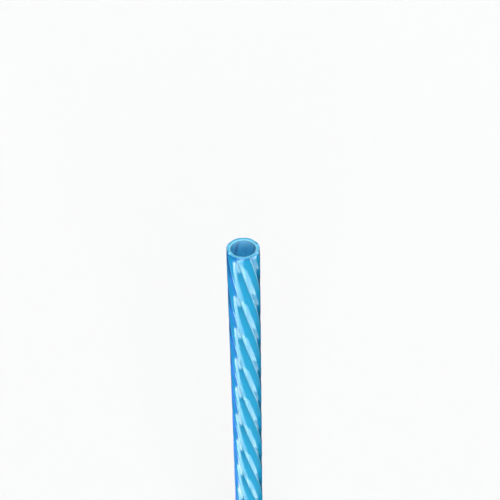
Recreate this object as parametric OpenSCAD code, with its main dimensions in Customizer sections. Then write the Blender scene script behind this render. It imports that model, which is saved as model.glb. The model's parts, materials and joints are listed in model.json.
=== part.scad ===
// Rigid drinking straw: one extruded tube with a round bore, standing on its end.
// Outside it is round with flats cut along it, and it twists all along the length,
// so that flats and ridges run round the tube as long spirals. Both ends are cut square.

/* [Tube] */
// Overall length of the straw
length = 230; // [120:1:300]
// Diameter over the ridges
outer_d = 8; // [6:0.1:14]
// Wall thickness at a ridge
wall_t = 1; // [0.6:0.05:1.6]

/* [Twisted flats] */
// Number of flats round the tube
flat_count = 8; // [6:1:12]
// Share of the way round that the rounded ridges between the flats take up
ridge_share = 0.5; // [0.1:0.05:0.8]
// Length in which a ridge goes once round the tube
turn_pitch = 92; // [70:1:240]
// Which way the ridges turn
twist_hand = "left"; // [left, right]
// Angle from +X to the middle of the first ridge, at the top end
ridge_angle = 22.5; // [0:0.5:60]

/* [Cut ends] */
// Chamfer on the ridges where they meet an end face
ridge_edge = 0.15; // [0.05:0.01:0.2]
// Chamfer round each mouth of the bore
bore_edge = 0.12; // [0.05:0.01:0.2]

/* [Colour] */
// Tint of the clear plastic
tint = "deepskyblue"; // [deepskyblue, gold, orange, hotpink, limegreen, mediumpurple]

/* [Hidden] */

ridge_radius = outer_d / 2;
bore_radius = ridge_radius - wall_t;
// Angle from one ridge to the next, and from the middle of a ridge to its edge
ridge_step = 360 / flat_count;
half_ridge = ridge_share * ridge_step / 2;

// Turn of the section from the top end to the bottom end
twist_sign = twist_hand == "left" ? 1 : -1;
twist_angle = twist_sign * 360 * length / turn_pitch;
// Slices that the twist is divided into, and points of the outline in each
slices_per_turn = 48;
slice_count = ceil(slices_per_turn * length / turn_pitch);
outline_points = 5 * flat_count;

// Stretch by which a cutter passes beyond the surface it cuts
overshoot = 1;
// Steps round the bore and the chamfers
round_steps = 96;

function polar(radius, angle) = radius * [cos(angle), sin(angle)];

// Three points on the round of one ridge, from the end of one flat to the start of the next
function ridge_points(ridge_turn) = [
    for (side = [-1, 0, 1]) polar(ridge_radius, ridge_turn + side * half_ridge)
];

// Outline of the outside, with a ridge on the X axis
module flatted_outline() {
    polygon([for (ridge = [0 : flat_count - 1]) each ridge_points(ridge_step * ridge)]);
}

// Outside of the tube, with its first ridge at ridge_angle at the top end
module twisted_body() {
    rotate([0, 0, twist_angle + ridge_angle])
        linear_extrude(
            height = length,
            twist = twist_angle,
            slices = slice_count,
            segments = outline_points
        )
            flatted_outline();
}

module bore_cutter() {
    translate([0, 0, -overshoot])
        cylinder(h = length + 2 * overshoot, r = bore_radius, $fn = round_steps);
}

// Takes the corner off the ridges at an end face on z = 0
module ridge_edge_cutter() {
    inner = ridge_radius - ridge_edge - overshoot;
    outer = ridge_radius + overshoot;
    rotate_extrude($fn = round_steps)
        polygon([[inner, -overshoot], [outer, -overshoot], [outer, ridge_edge + overshoot]]);
}

// Opens the mouth of the bore at an end face on z = 0
module bore_edge_cutter() {
    translate([0, 0, -overshoot])
        cylinder(
            h = overshoot + bore_edge,
            r1 = bore_radius + bore_edge + overshoot,
            r2 = bore_radius,
            $fn = round_steps
        );
}

module end_cutters() {
    ridge_edge_cutter();
    bore_edge_cutter();
}

module straw() {
    color(tint)
        difference() {
            twisted_body();
            bore_cutter();
            end_cutters();
            translate([0, 0, length])
                mirror([0, 0, 1])
                    end_cutters();
        }
}

straw();
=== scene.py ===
"""Looks of a rigid drinking straw: one tube of clear tinted plastic with twisted flats.

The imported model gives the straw's place, length and bore. Geometry Nodes turn one drawn
section of the tube's wall into the whole tube, with flats and ridges that twist along it
and softened rims. The straw stands on its end in a studio with a pale floor, and the camera
looks down on it as in the photograph.
"""

import json
import logging
import math
from dataclasses import dataclass
from enum import Enum

import bpy
from mathutils import Matrix, Vector


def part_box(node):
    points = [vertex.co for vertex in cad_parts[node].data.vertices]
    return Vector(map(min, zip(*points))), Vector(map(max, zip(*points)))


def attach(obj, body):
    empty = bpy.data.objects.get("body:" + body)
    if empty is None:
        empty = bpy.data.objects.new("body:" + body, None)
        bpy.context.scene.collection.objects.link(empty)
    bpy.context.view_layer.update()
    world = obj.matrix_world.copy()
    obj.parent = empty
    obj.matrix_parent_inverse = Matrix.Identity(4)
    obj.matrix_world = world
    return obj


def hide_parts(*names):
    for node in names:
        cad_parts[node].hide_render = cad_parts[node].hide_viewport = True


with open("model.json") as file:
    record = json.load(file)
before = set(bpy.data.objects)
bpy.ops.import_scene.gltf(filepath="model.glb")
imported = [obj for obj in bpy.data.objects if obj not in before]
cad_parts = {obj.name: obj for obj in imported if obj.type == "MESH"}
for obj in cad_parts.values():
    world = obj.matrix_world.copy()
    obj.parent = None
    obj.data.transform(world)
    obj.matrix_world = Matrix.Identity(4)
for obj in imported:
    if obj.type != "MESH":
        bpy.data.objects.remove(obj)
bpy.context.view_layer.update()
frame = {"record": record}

log = logging.getLogger("straw")

MM = 0.001
PHOTO_SIDE = 500
SENSOR_WIDTH = 36.0

Colour = tuple[float, float, float]


class TwistHand(Enum):
    """Which way the ridges turn as they go down from the top end."""

    LEFT = 1
    RIGHT = -1


class Field:
    """A number at every point of a shape, written as Math nodes in a node tree."""

    def __init__(self, tree: bpy.types.NodeTree, source: bpy.types.NodeSocket) -> None:
        """Wraps a socket.

        Args:
            tree: The node tree that the sums are written in.
            source: The socket that gives the number.
        """
        self.tree = tree
        self.source = source

    def sum_node(self, operation: str, *others: "Field | float") -> "Field":
        """Adds one Math node.

        Args:
            operation: The node's operation, as Blender names it.
            others: What follows this field in the sum.

        Returns:
            The node's result.
        """
        node = self.tree.nodes.new("ShaderNodeMath")
        node.operation = operation
        self.tree.links.new(self.source, node.inputs[0])
        for socket, other in zip(node.inputs[1:], others):
            if isinstance(other, Field):
                self.tree.links.new(other.source, socket)
            else:
                socket.default_value = other
        return Field(self.tree, node.outputs[0])

    def __add__(self, other: "Field | float") -> "Field":
        """This field plus another."""
        return self.sum_node("ADD", other)

    def __sub__(self, other: "Field | float") -> "Field":
        """This field less another."""
        return self.sum_node("SUBTRACT", other)

    def __mul__(self, other: "Field | float") -> "Field":
        """This field times another."""
        return self.sum_node("MULTIPLY", other)

    def __truediv__(self, other: "Field | float") -> "Field":
        """This field over another."""
        return self.sum_node("DIVIDE", other)

    def cos(self) -> "Field":
        """The cosine of this angle."""
        return self.sum_node("COSINE")

    def sin(self) -> "Field":
        """The sine of this angle."""
        return self.sum_node("SINE")

    def floor(self) -> "Field":
        """The whole number at or below this one."""
        return self.sum_node("FLOOR")

    def above(self, other: "Field | float") -> "Field":
        """One where this is more than another, else zero."""
        return self.sum_node("GREATER_THAN", other)

    def rise(self, start: float, end: float) -> "Field":
        """A smooth rise from zero to one.

        Args:
            start: Where it is zero.
            end: Where it reaches one, on either side of start.

        Returns:
            The share between the two.
        """
        node = self.tree.nodes.new("ShaderNodeMapRange")
        node.interpolation_type = "SMOOTHSTEP"
        node.inputs["From Min"].default_value = start
        node.inputs["From Max"].default_value = end
        self.tree.links.new(self.source, node.inputs["Value"])
        return Field(self.tree, node.outputs["Result"])


def blend(
    share: Field, low: Colour | bpy.types.NodeSocket, high: Colour | bpy.types.NodeSocket
) -> bpy.types.NodeSocket:
    """Blends two colours.

    Args:
        share: How much there is of the second.
        low: The first colour, or the socket that gives it.
        high: The second colour, or the socket that gives it.

    Returns:
        The socket that gives the blend.
    """
    links = share.tree.links
    node = share.tree.nodes.new("ShaderNodeMix")
    node.data_type = "RGBA"
    links.new(share.source, node.inputs["Factor"])
    for name, colour in (("A", low), ("B", high)):
        if isinstance(colour, bpy.types.NodeSocket):
            links.new(colour, node.inputs[name])
        else:
            node.inputs[name].default_value = (*colour, 1.0)
    return node.outputs["Result"]


@dataclass(frozen=True)
class Twist:
    """How the flats run round the tube.

    Attributes:
        flats: Number of flats round the outside.
        ridge_share: Share of the way round that the ridges between the flats take up.
        softening: Depth of plastic by which a ridge and a flat run into each other.
        pitch: Length in which a ridge goes once round.
        hand: Which way the ridges turn.
        first: Angle from +X to the middle of a ridge, at the top end.
    """

    flats: int = 8
    ridge_share: float = 0.5
    softening: float = 0.04 * MM
    pitch: float = 92 * MM
    hand: TwistHand = TwistHand.LEFT
    first: float = math.radians(22.5)

    def per_metre(self) -> float:
        """Angle by which the ridges turn in one metre, from the top end down."""
        return self.hand.value * 2 * math.pi / self.pitch

    def half_step(self) -> float:
        """Half the angle from one ridge to the next."""
        return math.pi / self.flats

    def half_flat(self) -> float:
        """Half the angle that one flat takes up."""
        return self.half_step() * (1 - self.ridge_share)


def outside(
    aside: Field, radius: Field | float, plane: Field | float, softening: Field | float
) -> Field:
    """Writes the rule of the tube's outside: the round, or a flat where that lies deeper.

    Args:
        aside: Angle from the middle of the nearest flat.
        radius: Distance from the axis to a ridge.
        plane: Distance from the axis to a flat.
        softening: Depth by which the two run into each other.

    Returns:
        The distance from the axis to the outside.
    """
    flat = aside.cos().sum_node("POWER", -1.0) * plane
    return flat.sum_node("SMOOTH_MIN", radius, softening)


@dataclass(frozen=True)
class TintedPlastic:
    """Finish of clear, slightly cloudy plastic that is dyed through.

    Attributes:
        name: The material's name.
        dye: Colour of what the plastic scatters and lets through at its outside.
        bore: The same at the bore, painted duller and greyer as the shade inside the tube.
        passed: How much red, green and blue get through one millimetre of it.
        cloud: Share of the light that the plastic scatters.
        ior: Its refractive index.
        smooth: Roughness where the surface is cleanest.
        dull: Roughness where it is most handled.
        hollow: Slope of the polish across a flat, where one makes it as even as a mirror.
        ridge_width: Share of the way from flat to flat where that slope turns round.
        lean: How the polish leans, first at the top end and then with each metre below it.
        wear_scale: How fine the handled places are.
        wear: Noise levels between which the surface turns from clean to handled.
        line_depth: Depth of the faint draw lines along the twist.
        line_scale: How fine those lines are.
        line_stretch: How soon they change along the tube.
        painted_ridge_glint: Painted highlight: colour of the thin pale line on top of each ridge, which
            stands for the glint of light along it.
        painted_ridge_glint_width: Share of the way from flat to flat that this painted line takes up.
        frost: Colour of the saw-cut end faces.
        painted_mouth_glint: Painted highlight: the end faces' colour next to the bore, painted paler
            for the light that gathers there.
        painted_lip_shade: Painted shade: a deeper blue along the outer edge of each end, for the light
            that is lost there.
        frost_share: How much of the light an end face scatters.
        frost_dull: Roughness of an end face.
        frost_depth: How far from an end its frosting reaches.
        skin_depth: How far in from the ridges the finish of the outside reaches.
        painted_mouth_glint_reach: Distances in from the ridges between which the painted highlight next
            to the bore sets in.
        painted_lip_shade_reach: Distances in from the ridges between which the painted shade along the
            outer edge sets in.
        painted_lip_shade_depth: Distances from an end between which it sets in.
    """

    name: str = "clear_blue_plastic"
    dye: Colour = (0.03, 0.68, 1.0)
    bore: Colour = (0.3, 0.6, 0.78)
    passed: Colour = (0.3, 0.75, 0.95)
    cloud: float = 0.45
    ior: float = 1.5
    smooth: float = 0.03
    dull: float = 0.09
    hollow: float = 1.7
    ridge_width: float = 0.14
    lean: tuple[float, float] = (-0.0567, 1.124)
    wear_scale: float = 90.0
    wear: tuple[float, float] = (0.4, 0.7)
    line_depth: float = 0.002 * MM
    line_scale: float = 9.0
    line_stretch: float = 6.0
    painted_ridge_glint: Colour = (0.38, 0.95, 1.0)
    painted_ridge_glint_width: float = 0.11
    frost: Colour = (0.13, 0.62, 0.95)
    painted_mouth_glint: Colour = (0.3, 0.82, 1.0)
    painted_lip_shade: Colour = (0.01, 0.3, 0.7)
    frost_share: float = 0.9
    frost_dull: float = 0.2
    frost_depth: float = 0.1 * MM
    skin_depth: float = 0.5 * MM
    painted_mouth_glint_reach: tuple[float, float] = (0.6 * MM, 0.85 * MM)
    painted_lip_shade_reach: tuple[float, float] = (0.27 * MM, 0.12 * MM)
    painted_lip_shade_depth: tuple[float, float] = (0.42 * MM, 0.3 * MM)

    def material(
        self, twist: Twist, radius: float, ends: tuple[float, float]
    ) -> bpy.types.Material:
        """Makes the material.

        Args:
            twist: How the flats run.
            radius: Distance from the axis to the top of a ridge.
            ends: Heights of the bottom and top ends.

        Returns:
            The material, which reads Object coordinates.
        """
        made = bpy.data.materials.new(self.name)
        made.use_nodes = True
        tree = made.node_tree
        nodes, links = tree.nodes, tree.links
        shader = nodes["Principled BSDF"]
        shader.inputs["IOR"].default_value = self.ior
        self.tint(tree)

        split = nodes.new("ShaderNodeSeparateXYZ")
        links.new(nodes.new("ShaderNodeTexCoord").outputs["Object"], split.inputs[0])
        across, deep, up = (Field(tree, split.outputs[axis]) for axis in "XYZ")
        turned = deep.sum_node("ARCTAN2", across) + (up - ends[1]) * twist.per_metre() - twist.first

        middle, half = (ends[0] + ends[1]) / 2, (ends[1] - ends[0]) / 2
        from_end = (up - middle).sum_node("ABSOLUTE") * -1.0 + half
        cut = from_end.rise(self.frost_depth, self.frost_depth / 4)
        dulled = self.wear_field(tree) + cut * self.frost_dull
        links.new(dulled.source, shader.inputs["Roughness"])
        clear = cut * (self.cloud - self.frost_share) + (1.0 - self.cloud)
        links.new(clear.source, shader.inputs["Transmission Weight"])

        inwards = (across * across + deep * deep).sum_node("SQRT") * -1.0 + radius
        skin = inwards.sum_node("LESS_THAN", self.skin_depth)
        step = turned / (2 * twist.half_step())
        off_crest = (step - step.sum_node("ROUND")).sum_node("ABSOLUTE")
        # Painted shade: a deeper blue band on the outside, just below each end's outer edge, stands for
        # the light lost there.
        painted_lip_shade = inwards.rise(*self.painted_lip_shade_reach) * from_end.rise(*self.painted_lip_shade_depth)
        # Painted shade: the bore gets a duller, greyer blue than the outside, which stands for the
        # shade inside the tube.
        colour = blend(skin, self.bore, self.dye)
        # Painted highlight: a thin pale line along the top of each ridge stands for the glint of light
        # on it.
        colour = blend(off_crest.rise(self.painted_ridge_glint_width / 2, 0.0) * skin, colour, self.painted_ridge_glint)
        colour = blend(cut, colour, self.frost)
        # Painted highlight: a paler blue on each end face next to the bore stands for the light that
        # gathers there.
        colour = blend(cut * inwards.rise(*self.painted_mouth_glint_reach), colour, self.painted_mouth_glint)
        links.new(blend(painted_lip_shade, colour, self.painted_lip_shade), shader.inputs["Base Color"])

        relief = self.relief(twist, radius, turned, up * -1.0 + ends[1]) * skin
        relief = relief + self.draw_lines(tree, turned, up) * self.line_depth
        bump = nodes.new("ShaderNodeBump")
        bump.inputs["Strength"].default_value = 1.0
        bump.inputs["Distance"].default_value = 1.0
        links.new(relief.source, bump.inputs["Height"])
        links.new(bump.outputs["Normal"], shader.inputs["Normal"])
        return made

    def wear_field(self, tree: bpy.types.NodeTree) -> Field:
        """Writes how rough the handled surface is.

        Args:
            tree: The material's node tree.

        Returns:
            The roughness.
        """
        handling = tree.nodes.new("ShaderNodeTexNoise")
        handling.inputs["Scale"].default_value = self.wear_scale
        handling.inputs["Detail"].default_value = 3.0
        worn = tree.nodes.new("ShaderNodeMapRange")
        worn.inputs["From Min"].default_value = self.wear[0]
        worn.inputs["From Max"].default_value = self.wear[1]
        worn.inputs["To Min"].default_value = self.smooth
        worn.inputs["To Max"].default_value = self.dull
        tree.links.new(tree.nodes["Texture Coordinate"].outputs["Object"], handling.inputs["Vector"])
        tree.links.new(handling.outputs["Fac"], worn.inputs["Value"])
        return Field(tree, worn.outputs["Result"])

    def draw_lines(self, tree: bpy.types.NodeTree, turned: Field, up: Field) -> Field:
        """Writes the faint lines that the die draws along the twist.

        Args:
            tree: The material's node tree.
            turned: Angle round the tube from the first ridge.
            up: Height above the floor.

        Returns:
            The height of the lines, from zero to one.
        """
        drawn = tree.nodes.new("ShaderNodeCombineXYZ")
        tree.links.new(turned.cos().source, drawn.inputs["X"])
        tree.links.new(turned.sin().source, drawn.inputs["Y"])
        tree.links.new((up * self.line_stretch).source, drawn.inputs["Z"])
        lines = tree.nodes.new("ShaderNodeTexNoise")
        lines.inputs["Scale"].default_value = self.line_scale
        lines.inputs["Detail"].default_value = 4.0
        tree.links.new(drawn.outputs[0], lines.inputs["Vector"])
        return Field(tree, lines.outputs["Fac"])

    def relief(self, twist: Twist, radius: float, turned: Field, below: Field) -> Field:
        """Writes the relief that the polish gives the outside.

        Args:
            twist: How the flats run.
            radius: Distance from the axis to the top of a ridge.
            turned: Angle round the tube from the first ridge.
            below: Distance down from the top end.

        Returns:
            The height of the relief.
        """
        half = twist.half_step()
        flat = turned / (2 * half)
        aside = (flat - flat.floor() - 0.5) * (2 * half)
        shoulder = half * (1 - self.ridge_width)
        beyond = (aside.sum_node("ABSOLUTE") - shoulder).sum_node("MAXIMUM", 0.0)
        rounding = beyond * beyond * (half / (half - shoulder))
        polished = (aside * aside - rounding) * (radius * self.hollow / 2)
        plane = radius * math.cos(twist.half_flat())
        leaning = below * self.lean[0] + below * below * (self.lean[1] / 2)
        return polished - outside(aside, radius, plane, twist.softening) + leaning

    def tint(self, tree: bpy.types.NodeTree) -> None:
        """Fills the plastic with its dye.

        Args:
            tree: The material's node tree.
        """
        taken = [-math.log(share) / MM for share in self.passed]
        density = max(taken)
        dye = tree.nodes.new("ShaderNodeVolumeAbsorption")
        dye.inputs["Color"].default_value = (*(1 - rate / density for rate in taken), 1.0)
        dye.inputs["Density"].default_value = density
        tree.links.new(dye.outputs[0], tree.nodes["Material Output"].inputs["Volume"])


@dataclass(frozen=True)
class PaleFloor:
    """Finish of the studio's floor: plain, pale and matt.

    Attributes:
        name: The material's name.
        colour: The floor's own colour.
        matt: Its roughness.
        shine: Its specular level.
    """

    name: str = "pale_floor"
    colour: Colour = (0.96, 0.96, 0.96)
    matt: float = 0.9
    shine: float = 0.2

    def material(self) -> bpy.types.Material:
        """Makes the material."""
        made = bpy.data.materials.new(self.name)
        made.use_nodes = True
        shader = made.node_tree.nodes["Principled BSDF"]
        shader.inputs["Base Color"].default_value = (*self.colour, 1.0)
        shader.inputs["Roughness"].default_value = self.matt
        shader.inputs["Specular IOR Level"].default_value = self.shine
        return made


@dataclass
class WallSection:
    """The outline of the tube's wall, cut along the axis through a ridge.

    Attributes:
        bottom: Height of the bottom end.
        top: Height of the top end.
        bore_radius: Distance from the axis to the bore's wall.
        ridge_radius: Distance from the axis to the top of a ridge.
        rim_rounding: Radius that softens each corner of the cut ends.
        rim_steps: Segments of each rounded corner.
        length_steps: Segments along the straight sides.
    """

    bottom: float
    top: float
    bore_radius: float
    ridge_radius: float
    rim_rounding: float = 0.16 * MM
    rim_steps: int = 5
    length_steps: int = 230

    def corner(self, radius: float, height: float, start: int) -> list[tuple[float, float]]:
        """Points of one rounded corner, turning left by a quarter.

        Args:
            radius: The rounding's centre, from the axis.
            height: The rounding's centre, from the floor.
            start: Direction of the first point from the centre, in quarter turns.

        Returns:
            The points, as distances from the axis and from the floor.
        """
        turns = [(start + step / self.rim_steps) * math.pi / 2 for step in range(self.rim_steps + 1)]
        return [
            (radius + self.rim_rounding * math.cos(turn), height + self.rim_rounding * math.sin(turn))
            for turn in turns
        ]

    def side(self, radius: float, start: float, end: float) -> list[tuple[float, float]]:
        """Points of a straight side, without its two ends."""
        shares = [step / self.length_steps for step in range(1, self.length_steps)]
        return [(radius, start + share * (end - start)) for share in shares]

    def outline(self) -> list[tuple[float, float]]:
        """The closed outline, which keeps the wall on its right."""
        low = self.bottom + self.rim_rounding
        high = self.top - self.rim_rounding
        inner = self.bore_radius + self.rim_rounding
        outer = self.ridge_radius - self.rim_rounding
        leftwards = [
            *self.corner(outer, low, -1),
            *self.side(self.ridge_radius, low, high),
            *self.corner(outer, high, 0),
            *self.corner(inner, high, 1),
            *self.side(self.bore_radius, high, low),
            *self.corner(inner, low, 2),
        ]
        return leftwards[::-1]

    def mesh(self) -> bpy.types.Mesh:
        """The outline as a loop of edges in the XZ plane."""
        points = self.outline()
        made = bpy.data.meshes.new("wall_section")
        edges = [(at, (at + 1) % len(points)) for at in range(len(points))]
        made.from_pydata([(radius, 0.0, height) for radius, height in points], edges, [])
        return made


@dataclass
class TwistedTube:
    """The straw itself: a round bore in a round wall, with flats that twist along the outside.

    Attributes:
        section: The wall's outline along the axis.
        finish: What the straw is made of.
        twist: How the flats run round it.
        steps: Segments from one ridge to the next.
    """

    section: WallSection
    finish: TintedPlastic
    twist: Twist = Twist()
    steps: int = 16

    @classmethod
    def from_frame(cls, node: str, bore: str) -> "TwistedTube":
        """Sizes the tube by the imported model.

        Args:
            node: The node that the tube stands for.
            bore: The mount that gives the bore.

        Returns:
            The tube at the node's place and size.
        """
        low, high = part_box(node)
        mount = next(m for m in frame["record"]["mounts"] if m["name"] == bore)
        section = WallSection(
            bottom=low.z,
            top=high.z,
            bore_radius=mount["dims"]["r_mm"] * MM,
            ridge_radius=(high.x - low.x) / 2,
        )
        return cls(section=section, finish=TintedPlastic())

    def sizes(self) -> dict[str, tuple[str, float | int]]:
        """The tree's inputs: their names, and each one's socket type and value."""
        decimal, whole = "NodeSocketFloat", "NodeSocketInt"
        return {
            "Top End": (decimal, self.section.top),
            "Bore Radius": (decimal, self.section.bore_radius),
            "Ridge Radius": (decimal, self.section.ridge_radius),
            "Ridge Share": (decimal, self.twist.ridge_share),
            "Softening": (decimal, self.twist.softening),
            "Ridge Angle": (decimal, self.twist.first),
            "Turn per Metre": (decimal, self.twist.per_metre()),
            "Flats": (whole, self.twist.flats),
            "Steps": (whole, self.steps),
        }

    def tree(self) -> bpy.types.NodeTree:
        """Builds the node tree that sweeps the wall section round the axis and twists it.

        Returns:
            The tree, whose geometry input is the wall section.
        """
        tree = bpy.data.node_groups.new("twisted_tube", "GeometryNodeTree")
        face = tree.interface
        face.new_socket("Section", in_out="INPUT", socket_type="NodeSocketGeometry")
        for name, (kind, _) in self.sizes().items():
            face.new_socket(name, in_out="INPUT", socket_type=kind)
        face.new_socket("Finish", in_out="INPUT", socket_type="NodeSocketMaterial")
        face.new_socket("Tube", in_out="OUTPUT", socket_type="NodeSocketGeometry")
        nodes, links = tree.nodes, tree.links
        given = nodes.new("NodeGroupInput").outputs
        size = {name: Field(tree, given[name]) for name in self.sizes()}

        section = nodes.new("GeometryNodeCaptureAttribute")
        section.capture_items.new("VECTOR", "Drawn")
        links.new(given["Section"], section.inputs["Geometry"])
        links.new(nodes.new("GeometryNodeInputPosition").outputs[0], section.inputs["Drawn"])
        profile = nodes.new("GeometryNodeMeshToCurve")
        links.new(section.outputs["Geometry"], profile.inputs[0])

        ring = nodes.new("GeometryNodeCurvePrimitiveCircle")
        links.new((size["Steps"] * size["Flats"]).source, ring.inputs["Resolution"])
        numbered = nodes.new("GeometryNodeCaptureAttribute")
        numbered.capture_items.new("FLOAT", "Place")
        links.new(ring.outputs["Curve"], numbered.inputs["Geometry"])
        links.new(nodes.new("GeometryNodeInputIndex").outputs[0], numbered.inputs["Place"])

        swept = nodes.new("GeometryNodeCurveToMesh")
        links.new(numbered.outputs["Geometry"], swept.inputs["Curve"])
        links.new(profile.outputs[0], swept.inputs["Profile Curve"])

        split = nodes.new("ShaderNodeSeparateXYZ")
        links.new(section.outputs["Drawn"], split.inputs[0])
        drawn, height = (Field(tree, split.outputs[axis]) for axis in "XZ")
        place = self.twisted(tree, size, Field(tree, numbered.outputs["Place"]), drawn, height)
        shaped = nodes.new("GeometryNodeSetPosition")
        links.new(swept.outputs[0], shaped.inputs["Geometry"])
        links.new(place, shaped.inputs["Position"])

        smooth = nodes.new("GeometryNodeSetShadeSmooth")
        real = nodes.new("GeometryNodeRealizeInstances")
        dressed = nodes.new("GeometryNodeSetMaterial")
        links.new(shaped.outputs[0], smooth.inputs[0])
        links.new(smooth.outputs[0], real.inputs[0])
        links.new(real.outputs[0], dressed.inputs["Geometry"])
        links.new(given["Finish"], dressed.inputs["Material"])
        links.new(dressed.outputs[0], nodes.new("NodeGroupOutput").inputs["Tube"])
        return tree

    def twisted(
        self,
        tree: bpy.types.NodeTree,
        size: dict[str, Field],
        place: Field,
        drawn: Field,
        height: Field,
    ) -> bpy.types.NodeSocket:
        """Writes the rule of the shape: where each point of the swept section goes.

        Args:
            tree: The tree to write in.
            size: The tree's inputs by name.
            place: The number of the point's ring step, counted round the tube.
            drawn: The point's distance from the axis in the drawn section.
            height: Its height.

        Returns:
            The socket that gives the point's position.
        """
        half_step = size["Flats"].sum_node("POWER", -1.0) * math.pi
        turn = place / size["Steps"] * half_step * 2.0
        nearest = (turn / half_step / 2.0).floor() * half_step * 2.0 + half_step
        half_flat = half_step - half_step * size["Ridge Share"]
        plane = size["Ridge Radius"] * half_flat.cos()
        reach = outside(turn - nearest, size["Ridge Radius"], plane, size["Softening"])

        angle = turn + size["Ridge Angle"] + (size["Top End"] - height) * size["Turn per Metre"]
        share = (reach - size["Bore Radius"]) / (size["Ridge Radius"] - size["Bore Radius"])
        radius = size["Bore Radius"] + (drawn - size["Bore Radius"]) * share

        point = tree.nodes.new("ShaderNodeCombineXYZ")
        tree.links.new((radius * angle.cos()).source, point.inputs["X"])
        tree.links.new((radius * angle.sin()).source, point.inputs["Y"])
        tree.links.new(height.source, point.inputs["Z"])
        return point.outputs[0]

    def build(self) -> bpy.types.Object:
        """Makes the straw as one plain mesh in its place.

        Returns:
            The finished piece.
        """
        piece = bpy.data.objects.new("straw_tube", self.section.mesh())
        bpy.context.scene.collection.objects.link(piece)
        tree = self.tree()
        twist = piece.modifiers.new("twist", "NODES")
        twist.node_group = tree
        ends = (self.section.bottom, self.section.top)
        finish = self.finish.material(self.twist, self.section.ridge_radius, ends)
        values = {name: value for name, (_, value) in self.sizes().items()}
        for item in tree.interface.items_tree:
            if item.in_out == "INPUT" and item.name in values:
                twist[item.identifier] = values[item.name]
            if item.in_out == "INPUT" and item.name == "Finish":
                twist[item.identifier] = finish
        bpy.context.view_layer.update()
        whole = piece.evaluated_get(bpy.context.evaluated_depsgraph_get())
        mesh = bpy.data.meshes.new_from_object(whole)
        piece.modifiers.remove(twist)
        drawing, piece.data = piece.data, mesh
        bpy.data.meshes.remove(drawing)
        return piece


@dataclass
class PhotoCamera:
    """The camera, placed so that the straw stands in the frame as the photograph shows it.

    The straw's rim, its width there and the vanishing point of its axis fix where the
    camera stands. All pixels are of the photograph's frame, counted from its top left.

    Attributes:
        rim: The middle of the top rim.
        vanishing: Where the straw's axis would vanish, far below its bottom end.
        rim_width: Width of the straw at its rim.
        focal: Focal length in pixels.
    """

    rim: tuple[float, float] = (243.1, 248.3)
    vanishing: tuple[float, float] = (271.3, 1453.0)
    rim_width: float = 34.0
    focal: float = 1040.0

    def sight(self, pixel: tuple[float, float]) -> Vector:
        """Direction to a pixel, as right, down and forward parts with a forward part of one."""
        middle = PHOTO_SIDE / 2
        return Vector(((pixel[0] - middle) / self.focal, (pixel[1] - middle) / self.focal, 1.0))

    def place(self, tube: TwistedTube) -> bpy.types.Object:
        """Puts the camera where it sees the tube as in the photograph.

        Args:
            tube: The straw, standing on the origin.

        Returns:
            The camera, which is also made the scene's own.
        """
        diameter = 2 * tube.section.ridge_radius
        to_rim = self.sight(self.rim) * (self.focal * diameter / self.rim_width)
        down = self.sight(self.vanishing).normalized()
        back = -to_rim.normalized()
        front = (back - down * back.dot(down)).normalized()
        seen = Matrix((down, front, front.cross(down))).transposed()
        standing = Matrix(((0, 0, -1), (0, -1, 0), (1, 0, 0))).transposed()
        turn = standing @ seen.inverted()
        rim_centre = Vector((0, 0, tube.section.top))
        axes = turn @ Matrix(((1, 0, 0), (0, -1, 0), (0, 0, -1)))

        lens = bpy.data.cameras.new("photo_camera")
        lens.sensor_width = SENSOR_WIDTH
        lens.lens = SENSOR_WIDTH * self.focal / PHOTO_SIDE
        lens.clip_start = 1 * MM
        camera = bpy.data.objects.new("photo_camera", lens)
        camera.matrix_world = Matrix.Translation(rim_centre - turn @ to_rim) @ axes.to_4x4()
        bpy.context.scene.collection.objects.link(camera)
        bpy.context.scene.camera = camera
        return camera


# Height angle that the middle of a flat mirrors to the camera
LEVEL = -48.0
# Bearing that is mirrored with each degree of height, from one ridge to the next
SHEAR = 5.4
WHITE: Colour = (1.0, 1.0, 1.0)


@dataclass(frozen=True)
class Window:
    """One tall light of the room, as the straw's polished side mirrors it.

    Angles are in degrees. Bearings go round the straw from the camera's side towards its right.

    Attributes:
        start: Bearing of its left edge.
        end: Bearing of its right edge.
        glow: How bright it is.
        sill: Height angle of its lower edge, as seen from the straw, where its bearing is zero.
        slope: How steeply that edge rises to the right.
        shear: Bearing by which its sides lean to the right with each degree above the level.
        blur: Angle over which its sides fade.
        sill_blur: Angle over which its lower edge fades.
    """

    start: float
    end: float
    glow: float
    sill: float = -90.0
    slope: float = 0.0
    shear: float = 0.0
    blur: float = 8.0
    sill_blur: float = 3.0

    def light(self, bearing: Field, height: Field) -> Field:
        """The window's light in a direction.

        Args:
            bearing: The direction's bearing.
            height: The direction's height angle.

        Returns:
            The glow inside the window, zero outside.
        """
        aside = bearing - (height - LEVEL) * self.shear
        left = aside.rise(self.start, self.start + self.blur)
        right = aside.rise(self.end, self.end - self.blur)
        over = (height - bearing * self.slope).rise(
            self.sill - self.sill_blur / 2, self.sill + self.sill_blur / 2
        )
        return left * right * over * self.glow


@dataclass(frozen=True)
class Lamp:
    """One broad, far lamp.

    Attributes:
        name: The lamp's name.
        strength: What it gives a white surface that faces it.
        height: Height angle of the lamp above the floor, in degrees.
        bearing: Its bearing, in degrees from the camera's side towards the right.
        breadth: How wide it looks, in degrees.
    """

    name: str
    strength: float
    height: float
    bearing: float
    breadth: float = 30.0

    def light(self) -> bpy.types.Object:
        """Hangs the lamp.

        Returns:
            The lamp in its place.
        """
        lamp = bpy.data.lights.new(self.name, "SUN")
        lamp.energy = self.strength * math.pi
        lamp.angle = math.radians(self.breadth)
        made = bpy.data.objects.new(self.name, lamp)
        made.rotation_euler = (math.radians(90 - self.height), 0, math.radians(self.bearing))
        bpy.context.scene.collection.objects.link(made)
        return made


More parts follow.
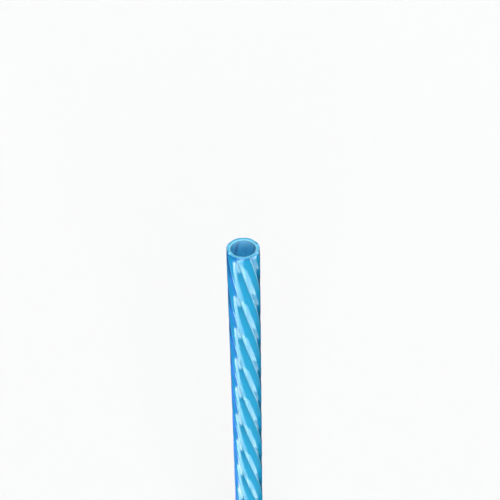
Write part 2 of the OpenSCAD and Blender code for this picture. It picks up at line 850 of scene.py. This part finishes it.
@dataclass
class Studio:
    """The pale floor, the lamps and the light of the room.

    The room is white to the eye. The straw's side is a mirror of the part of it that lies low
    in front, where tall windows stand left and right of the camera, with a blue shade far
    round on the left. The floor lets such mirrored rays through, so that they reach the
    windows as they would past a table's edge.

    Attributes:
        windows: The tall lights that the straw mirrors.
        cool: Colour of what the straw mirrors.
        shade: Colour of what it mirrors far round on its left.
        dim: How bright the rest of the room is in the straw's mirror, on the camera's side.
        shaded: Sheared bearings between which that colour sets in.
        shaded_top: Height angles between which it sets in below.
        dark: Bearings, to either side, between which the room falls dark in that mirror.
        room: Strength of the room's light on matt surfaces.
        lamps: The lamps, one from above and one from the camera's side.
        floor_side: Side of the square floor.
        floor: The floor's finish.
    """

    windows: tuple[Window, ...] = (
        Window(28, 108, 4.5, sill=-45.5),
        Window(100, 140, 1.2, sill=-45.0),
        Window(-94, -50, 3.0, shear=SHEAR),
        Window(-96, 0, 4.0, sill=-43.5, slope=0.07, shear=SHEAR),
        Window(-156, -86, 1.5, shear=SHEAR),
        Window(-180, -104, 0.4),
        Window(-180, 180, 4.0, sill=60.0),
    )
    cool: Colour = (0.88, 1.1, 1.15)
    shade: Colour = (0.08, 0.22, 1.0)
    shaded: tuple[float, float] = (-86.0, -96.0)
    shaded_top: tuple[float, float] = (-20.0, -30.0)
    dim: float = 0.3
    dark: tuple[float, float] = (75.0, 100.0)
    room: float = 0.38
    lamps: tuple[Lamp, ...] = (Lamp("top", 0.44, 85, 0), Lamp("front", 0.8, 12, 4))
    floor_side: float = 6.0
    floor: PaleFloor = PaleFloor()

    def lay_floor(self) -> bpy.types.Object:
        """Lays the floor on z = 0."""
        half = self.floor_side / 2
        mesh = bpy.data.meshes.new("floor")
        mesh.from_pydata(
            [(-half, -half, 0), (half, -half, 0), (half, half, 0), (-half, half, 0)], [], [(0, 1, 2, 3)]
        )
        mesh.materials.append(self.floor.material())
        made = bpy.data.objects.new("floor", mesh)
        made.visible_glossy = False
        made.visible_diffuse = False
        bpy.context.scene.collection.objects.link(made)
        return made

    def light_room(self) -> bpy.types.World:
        """Makes the room's light: white to the eye, softer on matt surfaces, windows in a mirror.

        Returns:
            The world, which is also made the scene's own.
        """
        world = bpy.data.worlds.new("room")
        world.use_nodes = True
        tree = world.node_tree
        split = tree.nodes.new("ShaderNodeSeparateXYZ")
        tree.links.new(tree.nodes.new("ShaderNodeTexCoord").outputs["Generated"], split.inputs[0])
        right, away, up = (Field(tree, split.outputs[axis]) for axis in "XYZ")
        bearing = right.sum_node("ARCTAN2", away * -1.0).sum_node("DEGREES")
        height = up.sum_node("ARCSINE").sum_node("DEGREES")
        seen = self.windows[0].light(bearing, height)
        for window in self.windows[1:]:
            seen = seen + window.light(bearing, height)
        ray = tree.nodes.new("ShaderNodeLightPath").outputs
        mirrored = Field(tree, ray["Is Reflection Ray"]) * Field(tree, ray["Is Glossy Ray"])
        matt = Field(tree, ray["Is Diffuse Ray"])
        seen = seen + bearing.sum_node("ABSOLUTE").rise(*self.dark[::-1]) * self.dim
        strength = matt * (self.room - 1.0) + 1.0
        strength = strength + mirrored * (seen - 1.0)
        tree.links.new(strength.source, tree.nodes["Background"].inputs["Strength"])
        leaning = bearing - (height - LEVEL) * SHEAR
        left = leaning.rise(*self.shaded) * height.rise(*self.shaded_top)
        colour = blend(mirrored, WHITE, blend(left, self.cool, self.shade))
        tree.links.new(colour, tree.nodes["Background"].inputs["Color"])
        bpy.context.scene.world = world
        return world


def main() -> None:
    """Builds the straw and its studio in order, and reports each piece."""
    logging.basicConfig(level=logging.INFO, format="%(message)s")
    bpy.context.scene.view_settings.view_transform = "Standard"
    tube = TwistedTube.from_frame("straw", "top_mouth")
    straw = tube.build()
    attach(straw, "root")
    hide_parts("straw")
    log.info("%s: %d points, %d faces", straw.name, len(straw.data.vertices), len(straw.data.polygons))
    studio = Studio()
    floor = studio.lay_floor()
    log.info("%s: %.1f m square", floor.name, studio.floor_side)
    log.info("%s: %d windows", studio.light_room().name, len(studio.windows))
    for lamp in studio.lamps:
        log.info("%s: strength %.2f", lamp.light().name, lamp.strength)
    camera = PhotoCamera().place(tube)
    log.info("%s: lens %.1f mm", camera.name, camera.data.lens)


if __name__ == "__main__":
    main()
